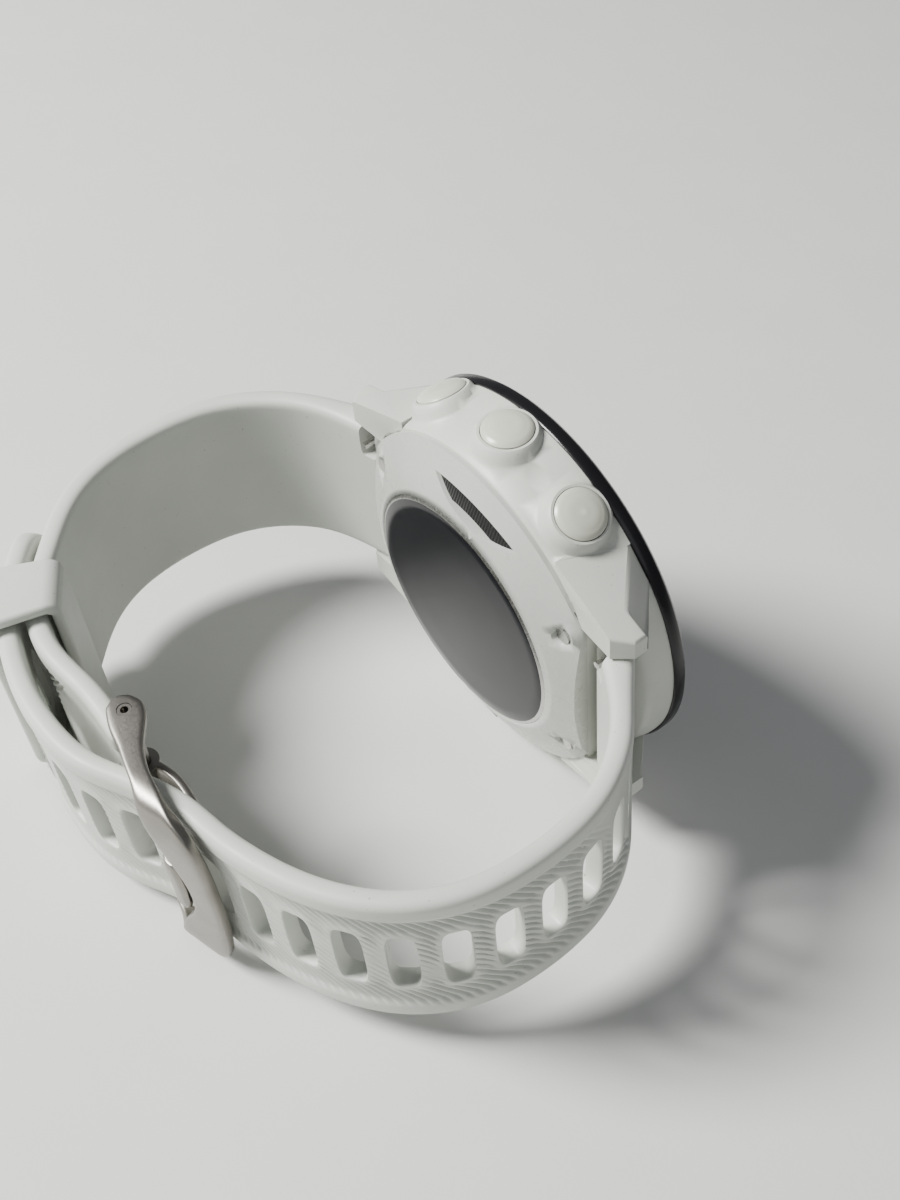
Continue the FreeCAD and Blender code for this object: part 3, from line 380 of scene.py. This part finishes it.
def spline(knots, values, at):
    """Natural cubic spline: second derivatives solve the tridiagonal system, then each span is its cubic."""
    n = len(knots)
    gap = np.diff(knots)
    system = np.eye(n)
    bends = np.zeros((n, values.shape[1]))
    rows = np.arange(1, n - 1)
    system[rows, rows - 1] = gap[:-1]
    system[rows, rows] = 2 * (gap[:-1] + gap[1:])
    system[rows, rows + 1] = gap[1:]
    slope = np.diff(values, axis=0) / gap[:, None]
    bends[1:-1] = 6 * np.diff(slope, axis=0)
    bends = np.linalg.solve(system, bends)
    span = np.clip(np.searchsorted(knots, at) - 1, 0, n - 2)
    left, right_share = (knots[span + 1] - at)[:, None], (at - knots[span])[:, None]
    wide = gap[span][:, None]
    return ((bends[span] * left ** 3 + bends[span + 1] * right_share ** 3) / (6 * wide)
            + (values[span] / wide - bends[span] * wide / 6) * left
            + (values[span + 1] / wide - bends[span + 1] * wide / 6) * right_share)


def strap_path(end, angles):
    """Evenly spaced stations down a strap half: length run, wrist face and outer face in (y, z)."""
    inner, outer = strap_face(end, angles, 0.0), strap_face(end, angles, THICK)
    middle = (inner + outer) / 2
    knots = np.concatenate([[0], np.cumsum(np.linalg.norm(np.diff(middle, axis=0), axis=1))])
    at = np.linspace(0, knots[-1], 6000)
    inner, outer = spline(knots, inner, at), spline(knots, outer, at)
    middle = (inner + outer) / 2
    run = np.concatenate([[0], np.cumsum(np.linalg.norm(np.diff(middle, axis=0), axis=1))])
    return run, inner, outer


def along_path(path, run):
    """Middle, outward thickness vector and forward direction at lengths along a path, straight on beyond its
    ends."""
    length, inner, outer = path
    held = np.clip(run, 0, length[-1])
    low = np.stack([np.interp(held, length, inner[:, k]) for k in (0, 1)], -1)
    high = np.stack([np.interp(held, length, outer[:, k]) for k in (0, 1)], -1)
    middle = (low + high) / 2
    mid = (inner + outer) / 2
    ahead = np.stack([np.interp(np.clip(held + 0.2, 0.2, length[-1]), length, mid[:, k]) for k in (0, 1)], -1)
    before = np.clip(held - 0.2, 0, length[-1] - 0.2)
    behind = np.stack([np.interp(before, length, mid[:, k]) for k in (0, 1)], -1)
    forward = ahead - behind
    forward /= np.linalg.norm(forward, axis=-1, keepdims=True)
    middle = middle + forward * (run - held)[..., None]
    return middle, high - low, forward


def strap_section():
    """Closed outline across the strap as (x share, height share, field share): flat wrist side, round edges,
    a bead on each side of the outer face, and the lower field between them."""
    edge = np.linspace(-np.pi / 2, np.pi / 2, 13)
    round_x = HALF_WIDE - 1.15 + 1.15 * signed(np.cos(edge), 0.8)
    round_h = 0.5 + 0.5 * signed(np.sin(edge), 0.8)
    bead = np.array([9.6, 9.2, 8.8, 8.5, 8.2, 7.9, 7.5])
    field = np.array([7.0, 6.2, 5.6, 5.1, 4.7, 4.2, 3.2, 2.1, 1.0, 0.0])
    wrist = np.array([9.0, 7.0, 4.7, 2.4, 0.0])
    x = np.concatenate([wrist[::-1], round_x, bead, field])
    h = np.concatenate([np.zeros(5), round_h, np.ones(7), np.ones(10)])
    x = np.concatenate([x, -field[:-1][::-1], -bead[::-1], -round_x[::-1], -wrist[:-1]])
    h = np.concatenate([h, np.ones(9), np.ones(7), round_h[::-1], np.zeros(4)])
    return x, h, np.where(h > 0.99, 1 - ease(np.abs(x), 7.7, 8.7), 0)


def surface_from(name, rings, material):
    """Mesh over a grid of points (stations, ring, 3) in watch mm; each ring is closed and both ends are
    fanned shut."""
    count, around = rings.shape[:2]
    points = np.concatenate([rings.reshape(-1, 3), rings[:1].mean(1), rings[-1:].mean(1)])
    i, j = np.meshgrid(np.arange(count - 1), np.arange(around), indexing="ij")
    k = (j + 1) % around
    quads = np.stack([i * around + j, i * around + k, (i + 1) * around + k, (i + 1) * around + j],
                     -1).reshape(-1, 4)
    j = np.arange(around)
    k = (j + 1) % around
    last = (count - 1) * around
    start = np.stack([k, j, np.full(around, count * around)], -1)
    stop = np.stack([last + j, last + k, np.full(around, count * around + 1)], -1)
    a, b, c, d = (points[quads[:, n]] for n in range(4))
    volume = np.einsum("ij,ij->i", a, np.cross(b, c)).sum() + np.einsum("ij,ij->i", a, np.cross(c, d)).sum()
    faces = [list(f) for f in quads.tolist() + start.tolist() + stop.tolist()]
    if volume < 0:
        faces = [f[::-1] for f in faces]
    mesh = bpy.data.meshes.new(name)
    mesh.from_pydata(place(points).tolist(), [], faces)
    mesh.materials.append(material)
    mesh.update()
    made = bpy.data.objects.new(name, mesh)
    bpy.context.scene.collection.objects.link(made)
    return made


def joined(pieces):
    """One object from several that don't touch."""
    with bpy.context.temp_override(active_object=pieces[0], selected_editable_objects=pieces):
        bpy.ops.object.join()
    return pieces[0]


def pierce(made, cutters, degrees=40):
    """Subtracts the cutters from a piece for good, one after the other, and removes them."""
    for tool in cutters:
        cut = made.modifiers.new("cut", "BOOLEAN")
        cut.operation, cut.solver, cut.object = "DIFFERENCE", "MANIFOLD", tool
    bpy.context.view_layer.update()
    mesh = bpy.data.meshes.new_from_object(made.evaluated_get(bpy.context.evaluated_depsgraph_get()))
    made.modifiers.clear()
    made.data = mesh
    for tool in cutters:
        bpy.data.objects.remove(tool)
    crease_smooth(mesh, degrees)


RIB_STEP, RIB_LEAN, RIB_DEEP = 1.05, -0.95, 0.40
LEAN_START, LEAN_OVER = 8, 13
FIELD_DEEP = 0.30
SLOT_FIRST, SLOT_STEP, SLOT_COUNT = 10.4, 5.1, 19
SLOT_HALF_LONG, SLOT_HALF_WIDE = 4.8, 1.5
RIM_LONG, RIM_WIDE = SLOT_HALF_LONG + 0.7, SLOT_HALF_WIDE + 0.65


def strap_rings(total, root_back):
    """Grid of a strap half: width places, height shares, shares ribbed and lowered, lengths along it.
    Rows lean with the ribs from 21 mm in. Nearer the ends they lean less, so that no row crosses the next."""
    stations = np.arange(-root_back, total, RIB_STEP / 8)
    stations = np.append(stations, total)
    x, h, field = strap_section()
    share = np.clip((stations - LEAN_START) / LEAN_OVER, 0, 1)
    share = share * np.clip((total - LEAN_START - stations) / LEAN_OVER, 0, 1)
    across = np.broadcast_to(x, (len(stations), len(x)))
    run = stations[:, None] + RIB_LEAN * share[:, None] * across
    ribbed = field * ease(share, 0.5, 0.8)[:, None]
    return across, np.broadcast_to(h, across.shape), ribbed, np.broadcast_to(field, across.shape), run


def rounding(past, reach, least):
    """Share of the thickness left at a distance past an end: a quarter ellipse over the reach."""
    if not reach:
        return 1.0
    return np.sqrt(np.clip(1 - np.clip(past / reach, 0, 1) ** 2, least, 1))


def strap_half(path, ends, ribs, slots=False):
    """A strap half from its path. ends = (rounding behind the root, rounding at the far end, taper's length);
    ribs = where they start and stop. A groove is 1 - |sin(pi * phase)|, and it fades out at a slot's rim."""
    total = path[0][-1]
    back, front, taper = ends
    across, h, ribbed, field, run = strap_rings(total + front, back)
    middle, thick, _ = along_path(path, run)
    size = np.linalg.norm(thick, axis=-1)
    rounded = rounding(-run, back, 0.004) * rounding(run - total, front, 0)
    narrow = 1.0
    if taper:
        share = np.clip((run - (total + front - taper)) / taper, 0, 1)
        narrow = np.clip(1 - share ** 2.6, 0.002, 1) ** (1 / 2.6)
    rib_on = ribbed * ease(run, ribs[0], ribs[0] + 5) * (1 - ease(run, ribs[1] - 4, ribs[1]))
    if slots:
        number = np.clip(np.round((run - SLOT_FIRST) / SLOT_STEP), 0, SLOT_COUNT - 1)
        off_slot = np.abs(run - SLOT_FIRST - SLOT_STEP * number)
        rim = (np.abs(across) / RIM_LONG) ** 4 + (off_slot / RIM_WIDE) ** 4
        rib_on = rib_on * ease(rim, 0.9, 1.5)
    groove = 1 - np.abs(np.sin(np.pi * (run - RIB_LEAN * across) / RIB_STEP))
    lower = FIELD_DEEP * field * ease(run, 5, 11) + RIB_DEEP * rib_on * groove
    raised = (h - 0.5) * size * rounded - lower
    spot = middle + thick / size[..., None] * raised[..., None]
    return np.stack([across * narrow, spot[..., 0], spot[..., 1]], -1)


def slot_cutter(path, at):
    """Plug of a superellipse plan (power 4) that flares by a quarter round where it meets the outer face."""
    middle, thick, forward = along_path(path, np.array([at]))
    unit = (thick / np.linalg.norm(thick))[0]
    turn = np.linspace(0, 2 * np.pi, 48, endpoint=False)
    depth = np.array([-3.0, -1.35, -1.2, 0.4, 0.62, 0.75, 0.85, 0.95, 1.1, 1.6])
    flare = 0.36 * (1 - np.sqrt(np.clip(1 - ((np.clip(depth, 0.55, 0.98) - 0.55) / 0.43) ** 2, 0, 1)))
    flare = flare + 0.2 * ease(-depth, 1.1, 1.3)
    d, t = np.meshgrid(depth, turn, indexing="ij")
    f = np.broadcast_to(flare[:, None], d.shape)
    x = (SLOT_HALF_LONG + f) * signed(np.cos(t), 0.5)
    s = (SLOT_HALF_WIDE + f) * signed(np.sin(t), 0.5)
    y = middle[0, 0] + forward[0, 0] * s + unit[0] * d
    z = middle[0, 1] + forward[0, 1] * s + unit[1] * d
    return surface_from("slot", np.stack([x, y, z], -1), silicone)


def round_bar(name, radius, low, high, y, z, material=None):
    """Cylinder across the strap between two x places."""
    turn = np.linspace(0, 2 * np.pi, 40, endpoint=False)
    x = np.array([low, high])[:, None] + 0 * turn
    ring = np.stack([x, y + radius * np.cos(turn) + 0 * x, z + radius * np.sin(turn) + 0 * x], -1)
    return surface_from(name, ring, material or silicone)


def lever_room(end):
    """Pocket in the strap's root round the thumb lever, open to the wrist side."""
    turn = np.linspace(0, 2 * np.pi, 40, endpoint=False)
    z = np.array([-6.0, 0.6])[:, None] + 0 * turn + BAR_OUT
    ring = np.stack([-8.95 + 2.4 * signed(np.cos(turn), 0.4) + 0 * z,
                     end * BAR_TOP + 1.1 * signed(np.sin(turn), 0.4) + 0 * z, z], -1)
    return surface_from("lever_room", ring, silicone)


def lay(made, body, slot_name, *nodes):
    """Ties a finished piece to its body and hides the nodes it stands for."""
    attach(made, body)
    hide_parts(*nodes)
    return made


long_path = strap_path(-1, np.radians(np.linspace(-130, 58, 27)))
long_strap = surface_from("long_strap",
                          strap_half(long_path, (ROOT, 0.0, 6.5), (8, long_path[0][-1] - 6), slots=True),
                          silicone)
cutters = [joined([slot_cutter(long_path, SLOT_FIRST + SLOT_STEP * n) for n in range(SLOT_COUNT)])]
cutters += [round_bar("bore", 0.91, -12, 12, -BAR_TOP, BAR_OUT), lever_room(-1)]
pierce(long_strap, cutters)
lay(long_strap, "long_strap", "strap_silicone", "strap_long")

# ---------------------------------------------------------------- short strap
# The shorter half of the same silicone. Its end wraps the buckle pin, with a gap in the middle for the tang.
PIN_TOP, PIN_OUT = 2.6, -46.2
short_path = strap_path(1, np.radians(np.linspace(130, 1, 15)))
short_strap = surface_from("short_strap",
                           strap_half(short_path, (ROOT, 1.2, 0.0), (8, short_path[0][-1] - 3)),
                           silicone)
cutters = [round_bar("bore", 0.91, -12, 12, BAR_TOP, BAR_OUT), lever_room(1),
           round_bar("tang_room", 2.45, -4.4, 4.4, PIN_TOP, PIN_OUT),
           round_bar("pin_bore", 0.77, -12, 12, PIN_TOP, PIN_OUT)]
pierce(short_strap, cutters)
lay(short_strap, "short_strap", "strap_silicone", "strap_short")

# ---------------------------------------------------------------- keeper
# A moulded silicone loop with rounded edges that holds the tail down on the short half.
KEEPER_AT, KEEPER_LONG = math.radians(33), 7.6
KEEPER_PLAY, KEEPER_SIDE_PLAY = 0.45, 0.4
KEEPER_HALF_WALL, KEEPER_HALF_SIDE = 0.575, 0.7


def rounded_loop(half_x, half_h, corner, count):
    """Rounded rectangle, evenly cornered: points and outward directions in (x, h)."""
    quarter = np.linspace(0, np.pi / 2, count)
    turns = np.concatenate([quarter + n * np.pi / 2 for n in range(4)])
    centre_x = np.repeat([1, -1, -1, 1], count) * (half_x - corner)
    centre_h = np.repeat([1, 1, -1, -1], count) * (half_h - corner)
    facing = np.stack([np.cos(turns), np.sin(turns)], -1)
    return np.stack([centre_x, centre_h], -1) + corner * facing, facing


def torus_from(name, rings, material):
    """Mesh over a grid of points closed both ways (around the loop, round the section)."""
    around, section = rings.shape[:2]
    i, j = np.meshgrid(np.arange(around), np.arange(section), indexing="ij")
    n, k = (i + 1) % around, (j + 1) % section
    quads = np.stack([i * section + j, i * section + k, n * section + k, n * section + j], -1).reshape(-1, 4)
    points = rings.reshape(-1, 3)
    a, b, c, d = (points[quads[:, m]] for m in range(4))
    volume = np.einsum("ij,ij->i", a, np.cross(b, c)).sum() + np.einsum("ij,ij->i", a, np.cross(c, d)).sum()
    if volume < 0:
        quads = quads[:, ::-1]
    mesh = bpy.data.meshes.new(name)
    mesh.from_pydata(place(points).tolist(), [], quads.tolist())
    mesh.materials.append(material)
    made = bpy.data.objects.new(name, mesh)
    bpy.context.scene.collection.objects.link(made)
    crease_smooth(mesh, 50)
    return made


def keeper_shape():
    """Rounded loop across the strap, bent to the strap's curve; its wall is a rounded-rectangle section."""
    stack = THICK + LAYER
    small = 0.01
    spot = loop_curve(np.array([KEEPER_AT, KEEPER_AT + small]), stack / 2)
    speed = np.linalg.norm(spot[1] - spot[0]) / small
    half_x = HALF_WIDE + KEEPER_SIDE_PLAY + KEEPER_HALF_SIDE
    loop, way = rounded_loop(half_x, stack / 2 + KEEPER_PLAY + KEEPER_HALF_WALL, 1.25, 12)
    section, _ = rounded_loop(KEEPER_HALF_WALL, KEEPER_LONG / 2, 0.5, 6)
    wall = np.where(np.abs(way[:, :1]) > 0.5, KEEPER_HALF_SIDE / KEEPER_HALF_WALL, 1.0)
    x = loop[:, None, 0] + way[:, None, 0] * section[None, :, 0] * wall
    h = loop[:, None, 1] + way[:, None, 1] * section[None, :, 0] * wall
    angle = KEEPER_AT + np.broadcast_to(section[None, :, 1], x.shape) / speed
    across = loop_curve(angle.ravel(), stack / 2 + h.ravel()).reshape(*x.shape, 2)
    return np.concatenate([x[..., None], across], -1)


keeper = torus_from("keeper", keeper_shape(), silicone)
lay(keeper, "keeper", "strap_silicone", "keeper_loop")

# ---------------------------------------------------------------- buckle
# Pressed stainless steel, bead-blasted to a warm satin grey. Two flat ears leave the pin, curl round the
# strap's edges and run together into a crescent plate; the wide tang rests its tip in the plate's scoop.
buckle_steel = metal("buckle_steel", (0.29, 0.275, 0.25), (0.22, 0.21, 0.19), 0.36, grain=6000,
                     depth=0.000012)
EAR_X = 12.35
TANG_HALF_WIDE, TANG_HALF_THICK, TIP_RADIUS = 4.1, 0.6, 10.59


def rail_pair():
    """Two rails of the frame's middle surface: the ear's outer edge into the scoop, its inner edge into
    the bulge."""
    turn = np.radians([84, 60, 35, 12])
    eye = np.stack([np.full(4, EAR_X), PIN_TOP + 1.9 * np.sin(turn)], -1)
    scoop = np.vstack([np.column_stack([eye, PIN_OUT - 1.9 * np.cos(turn)]),
                       [(EAR_X, -0.6, -48.9), (EAR_X, -3.0, -49.5), (12.2, -5.2, -50.0), (11.3, -6.9, -50.45),
                        (9.6, -7.9, -50.5), (7.4, -8.75, -50.25), (4.0, -10.7, -49.75), (0.0, -11.5, -49.5)]])
    bulge = np.vstack([np.column_stack([eye, PIN_OUT + 1.9 * np.cos(turn)]),
                       [(EAR_X, -1.6, -46.5), (EAR_X, -5.2, -47.9), (EAR_X, -8.2, -48.35),
                        (12.3, -10.6, -48.7), (11.6, -12.6, -48.8), (9.6, -13.9, -48.7),
                        (5.4, -14.55, -48.55), (0.0, -14.75, -48.5)]])
    return scoop, bulge


def mirrored(rail):
    back = rail[:-1][::-1] * np.array([-1, 1, 1])
    return np.vstack([rail, back])


def frame_shape():
    """Rounded rectangle carried between the two rails, with its thickness along their common normal."""
    scoop, bulge = (mirrored(r) for r in rail_pair())
    middle = (scoop + bulge) / 2
    knots = np.concatenate([[0], np.cumsum(np.linalg.norm(np.diff(middle, axis=0), axis=1))])
    at = np.linspace(0, knots[-1], 220)
    scoop, bulge = spline(knots, scoop, at), spline(knots, bulge, at)
    middle, half = (scoop + bulge) / 2, (bulge - scoop) / 2
    ahead = np.gradient(middle, axis=0)
    normal = np.cross(ahead, half)
    normal /= np.linalg.norm(normal, axis=1, keepdims=True)
    wide = np.linalg.norm(half, axis=1, keepdims=True)
    unit = half / wide
    turn = np.linspace(0, 2 * np.pi, 40, endpoint=False)
    a, b = signed(np.cos(turn), 0.36), 0.72 * signed(np.sin(turn), 0.42)
    reach = np.maximum(wide - 0.35, 0.05) * np.sign(a) * np.abs(a) + 0.35 * a
    return middle[:, None] + unit[:, None] * reach[..., None] + normal[:, None] * b[None, :, None]


buckle = surface_from("buckle", frame_shape(), buckle_steel)
pierce(buckle, [round_bar("pin_hole", 0.8, -14, 14, PIN_TOP, PIN_OUT)], 50)
lay(buckle, "buckle", "buckle_steel", "buckle_frame")


def tang_shape():
    """Strip of even thickness bent from the pin, through the slot and into the scoop; its tip is an arc
    about the scoop's centre, 0.3 mm short of it."""
    bends = np.array([(-1.2, 0.9), (-3.2, 1.45), (-6.2, 1.5), (-8.7, 0.75), (-9.6, -1.2), (-10.2, -3.0),
                      (-11.3, -3.85), (-13.5, -3.75)])
    bends = bends + [PIN_TOP, PIN_OUT]
    knots = np.concatenate([[0], np.cumsum(np.linalg.norm(np.diff(bends, axis=0), axis=1))])
    at = np.linspace(0, knots[-1], 110)
    line = spline(knots, bends, at)
    ahead = np.gradient(line, axis=0)
    ahead /= np.linalg.norm(ahead, axis=1, keepdims=True)
    normal = np.stack([-ahead[:, 1], ahead[:, 0]], -1)
    turn = np.linspace(0, 2 * np.pi, 48, endpoint=False)
    x = TANG_HALF_WIDE * signed(np.cos(turn), 0.3)
    b = TANG_HALF_THICK * signed(np.sin(turn), 0.5)
    thin = np.sqrt(np.clip(1 - np.clip((at - (at[-1] - 0.5)) / 0.5, 0, 1) ** 2, 0.05, 1))
    tip = ease(at, at[-1] - 2.6, at[-1])
    spot = line[:, None] + normal[:, None] * (b[None] * thin[:, None])[..., None]
    spot[..., 0] += tip[:, None] * (TIP_RADIUS - np.sqrt(TIP_RADIUS ** 2 - x ** 2))[None]
    return np.concatenate([np.broadcast_to(x, spot.shape[:2])[..., None], spot], -1)


tang = surface_from("tang", tang_shape(), buckle_steel)
crease_smooth(tang.data, 50)
tang_eye = round_bar("tang_eye", 1.65, -TANG_HALF_WIDE, TANG_HALF_WIDE, PIN_TOP, PIN_OUT, buckle_steel)
pierce(tang_eye, [round_bar("eye_bore", 0.8, -6, 6, PIN_TOP, PIN_OUT)], 40)
pierce(tang, [round_bar("tang_bore", 0.8, -6, 6, PIN_TOP, PIN_OUT)], 40)
joined([tang, tang_eye])
lay(tang, "tang", "buckle_steel", "buckle_tang")
coat("buckle_pin", buckle_steel)

# ---------------------------------------------------------------- floor, light and camera
# A plain pale sheet, one large soft light from the upper left, a weaker fill and an even sky.
floor_mesh = bpy.data.meshes.new("floor")
reach = 1.5
floor_mesh.from_pydata([(-reach, -reach, 0), (reach, -reach, 0), (reach, reach, 0), (-reach, reach, 0)], [],
                       [(0, 1, 2, 3)])
floor = bpy.data.objects.new("floor", floor_mesh)
bpy.context.scene.collection.objects.link(floor)
paper = moulded("paper", (0.70, 0.705, 0.685), (0.68, 0.685, 0.665), 0.7, grain=(1500, 0.00003))
floor_mesh.materials.append(paper)


def soft_light(name, place_at, look_at, size, power, colour):
    lamp = bpy.data.lights.new(name, "AREA")
    lamp.shape, lamp.size, lamp.energy, lamp.color = "DISK", size, power, colour
    made = bpy.data.objects.new(name, lamp)
    bpy.context.scene.collection.objects.link(made)
    aim = (Vector(look_at) - Vector(place_at)).to_track_quat("-Z", "Y")
    made.matrix_world = Matrix.Translation(place_at) @ aim.to_matrix().to_4x4()


soft_light("key", (-0.44, 0.30, 0.50), (0, 0, 0.02), 0.26, 14.5, (1.0, 0.99, 0.97))
soft_light("fill", (-0.35, -0.65, 0.55), (0, 0, 0.02), 0.7, 0.9, (0.96, 0.98, 1.0))
world = bpy.data.worlds.new("room")
world.use_nodes = True
world.node_tree.nodes["Background"].inputs[0].default_value = (0.93, 0.95, 1.0, 1)
world.node_tree.nodes["Background"].inputs[1].default_value = 0.20
bpy.context.scene.world = world

lens = bpy.data.cameras.new("camera")
lens.sensor_fit, lens.sensor_height, lens.lens = "VERTICAL", 36, 49.8
camera = bpy.data.objects.new("camera", lens)
bpy.context.scene.collection.objects.link(camera)
stand = place([-142.6, -97.6, -70.3])
ahead = np.array([0.771, 0.539, 0.338]) @ AXES
above = np.array([-0.632, 0.591, 0.501]) @ AXES
ahead /= np.linalg.norm(ahead)
side = np.cross(ahead, above)
side /= np.linalg.norm(side)
above = np.cross(side, ahead)
camera.matrix_world = Matrix([(*row, at) for row, at in zip(np.stack([side, above, -ahead], -1),
                                                            stand)] + [(0, 0, 0, 1)])
bpy.context.scene.camera = camera
